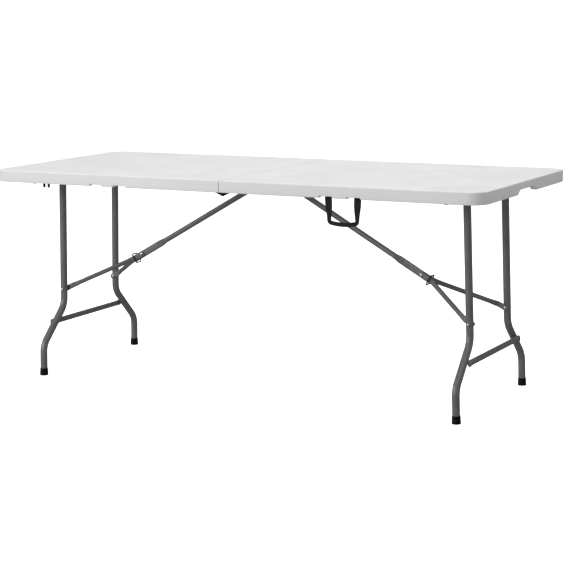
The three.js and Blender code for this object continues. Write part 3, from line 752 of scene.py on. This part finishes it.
def lock_ring():
    """A circle of wire carried round a rounded square: the centre line is a superellipse of power 5 in
    (y, z), and the wire lies about its normal and X."""
    t = 2 * np.pi * np.arange(96) / 96
    power = 2 / 5
    y = (RING_Y + RING_WIRE) * np.sign(np.cos(t)) * np.abs(np.cos(t)) ** power
    z = (RING_Z + RING_WIRE) * np.sign(np.sin(t)) * np.abs(np.sin(t)) ** power
    path = np.stack([np.zeros(96), y, z], -1)
    heading = np.roll(path, -1, 0) - np.roll(path, 1, 0)
    heading /= np.linalg.norm(heading, axis=1)[:, None]
    normal = np.cross(heading, (1, 0, 0))
    q = 2 * np.pi * np.arange(14) / 14
    wire = np.cos(q)[None, :, None] * normal[:, None] + np.sin(q)[None, :, None] * np.array([1.0, 0, 0])
    centre = path + (KNEE_AT + RING_PAST, 0, 0)
    return shell(centre[:, None] + RING_WIRE * wire, quads((96, 14), along=True))


for side, mirror in SIDES:
    ring = [placed(lock_ring(), BRACE_PIVOT, BRACE_DIP, mirror)]
    name = f"{side}_lock_ring"
    finish_piece(f"{name}_wire", ring, dark_steel, f"{side}_ring", [name])


# ---- Centre hinges: black pressed plates lapped on one pin under the seam, at the front and the rear ----
# Each leaf is an upright plate just inside the rim, rounded about the pin.
for edge in ("front", "rear"):
    for part in ("left_leaf", "right_leaf", "pin"):
        dress(f"{edge}_hinge_{part}", black_plastic)

# ---- Catch: two tapered prongs on the left half that snap over a peg on the right half ----
# Both are moulded in black plastic and reach down just inside the front rim.
for node in ("left_catch_fork", "right_catch_peg"):
    dress(node, black_plastic)


# ---- Carry handle: black polypropylene webbing that hangs in a loop from two anchors behind the rim ----
# It is flat at the top, folded narrower towards the grip, and the grip sags a little.
STRAP_X, STRAP_Y, STRAP_TOP, STRAP_DROP = (384.0, 490.0), -354.0, 704.5, 90.0
STRAP_HALF, STRAP_THICK = 12.5, 0.9
GRIP_HALF, GRIP_THICK = 6.9, 1.8
SAG, LEAN_IN, CORNER_TURN = 4.0, 4.0, 9.0

for node in ("handle_anchor_inner", "handle_anchor_outer"):
    dress(node, black_plastic)

weave, weave_in, weave_out = node_group(
    "webbing_weave",
    [("Along", FLOAT, 0.0), ("Across", FLOAT, 0.0), ("Pitch", FLOAT, 0.0018)],
    [("Height", FLOAT), ("Tone", FLOAT)],
)


def step(group, operation, first, second=None):
    """A Math node fed by sockets or numbers."""
    node = group.nodes.new("ShaderNodeMath")
    node.operation = operation
    for slot_number, value in enumerate((first, second)):
        if value is None:
            continue
        if isinstance(value, (int, float)):
            node.inputs[slot_number].default_value = value
        else:
            group.links.new(value, node.inputs[slot_number])
    return node.outputs[0]


rate = step(weave, "DIVIDE", np.pi, weave_in.outputs["Pitch"])
weft = step(weave, "SINE", step(weave, "MULTIPLY", weave_in.outputs["Along"], rate))
warp = step(weave, "SINE", step(weave, "MULTIPLY", weave_in.outputs["Across"], rate))
crossing = step(weave, "MULTIPLY", weft, warp)
rib = step(weave, "ABSOLUTE", weft)
weave.links.new(step(weave, "ADD", step(weave, "MULTIPLY", crossing, 0.6), rib), weave_out.inputs["Height"])
weave.links.new(step(weave, "MULTIPLY_ADD", crossing, 0.5), weave_out.inputs["Tone"])

webbing = finish_of(
    "black_webbing",
    dark=(0.007, 0.007, 0.008),
    light=(0.022, 0.022, 0.023),
    rough=(0.6, 0.8),
    grain_scale=2400,
    pebble=0.2,
    bump=0.00004,
    drift_scale=40.0,
    gloss=0.3,
)
nodes, links = webbing.node_tree.nodes, webbing.node_tree.links
surface = nodes["Principled BSDF"]
surface.inputs["Sheen Weight"].default_value = 0.25
surface.inputs["Sheen Roughness"].default_value = 0.4
lay = nodes.new("ShaderNodeAttribute")
lay.attribute_name = "lay"
parts = nodes.new("ShaderNodeSeparateXYZ")
links.new(lay.outputs["Vector"], parts.inputs[0])
cloth = nodes.new("ShaderNodeGroup")
cloth.node_tree = weave
links.new(parts.outputs["X"], cloth.inputs["Along"])
links.new(parts.outputs["Y"], cloth.inputs["Across"])
relief = next(n for n in nodes if n.type == "BUMP")
over = nodes.new("ShaderNodeBump")
over.inputs["Distance"].default_value = 0.00035
links.new(cloth.outputs["Height"], over.inputs["Height"])
links.new(relief.outputs["Normal"], over.inputs["Normal"])
links.new(over.outputs["Normal"], surface.inputs["Normal"])


def strap_path():
    """The loop's centre line in x and z: down from the left anchor, round an eased corner, along a grip
    that sags by a parabola, and up to the right anchor."""
    left, right = STRAP_X
    foot, inner = STRAP_TOP - STRAP_DROP + SAG + 1.5, left + LEAN_IN
    a = np.linspace(0, np.pi / 2, 12)[1:]
    down = np.linspace(STRAP_TOP, foot + CORNER_TURN, 26)
    leaning = left + LEAN_IN / 2 * (1 + ease((STRAP_TOP - down) / 60))
    middle, half = (left + right) / 2, (right - left) / 2 - LEAN_IN - CORNER_TURN
    run = np.linspace(middle - half, middle + half, 30)[1:-1]
    grip = foot - SAG * (1 - ((run - middle) / half) ** 2)
    x = np.concatenate([leaning, inner + CORNER_TURN * (1 - np.cos(a)), run])
    z = np.concatenate([down, foot + CORNER_TURN * (1 - np.sin(a)), grip])
    back = slice(len(run), None)
    return np.concatenate([x, (left + right - x)[::-1][back]]), np.concatenate([z, z[::-1][back]])


def strap():
    """A thin rounded section carried along the loop, with its width in the loop's plane. Below the rim the
    edges are folded in, so the strap eases to a little over half the width and twice the thickness."""
    x, z = strap_path()
    path = np.stack([x, np.full(len(x), STRAP_Y), z], -1)
    length = np.concatenate([[0], np.cumsum(np.linalg.norm(np.diff(path, axis=0), axis=1))])
    heading = np.gradient(path, axis=0)
    heading /= np.linalg.norm(heading, axis=1)[:, None]
    out_of_plane = np.array([0, 1.0, 0])
    inward = np.cross(heading, out_of_plane)
    low = ease((STRAP_TOP - 20 - z) / 60)[:, None]
    half = STRAP_HALF + (GRIP_HALF - STRAP_HALF) * low
    thick = STRAP_THICK + (GRIP_THICK - STRAP_THICK) * low
    t = 2 * np.pi * np.arange(36) / 36
    c = np.sign(np.cos(t)) * np.abs(np.cos(t)) ** 0.5
    s = np.sign(np.sin(t)) * np.abs(np.sin(t)) ** 0.5
    bow = 1.5 * np.sin(np.pi * length / length[-1])[:, None] * (1 - c ** 2)
    points = path[:, None] + (half * c)[..., None] * inward[:, None]
    points += (thick * s + bow)[..., None] * out_of_plane
    lay_out = np.stack(np.broadcast_arrays(length[:, None], half * c, s[None, :]), -1)
    count = len(x)
    ends = [list(range(36)), list(range((count - 1) * 36, count * 36))[::-1]]
    return shell(points, quads((count, 36)), ends), lay_out.reshape(-1, 3) / 1000


loop, lay_out = strap()
handle = finish_piece("handle_webbing", [loop], webbing, "handle", ["handle_strap"], crease=60)
spot = handle.data.attributes.new("lay", "FLOAT_VECTOR", "POINT")
spot.data.foreach_set("vector", lay_out.astype(np.float32).ravel())
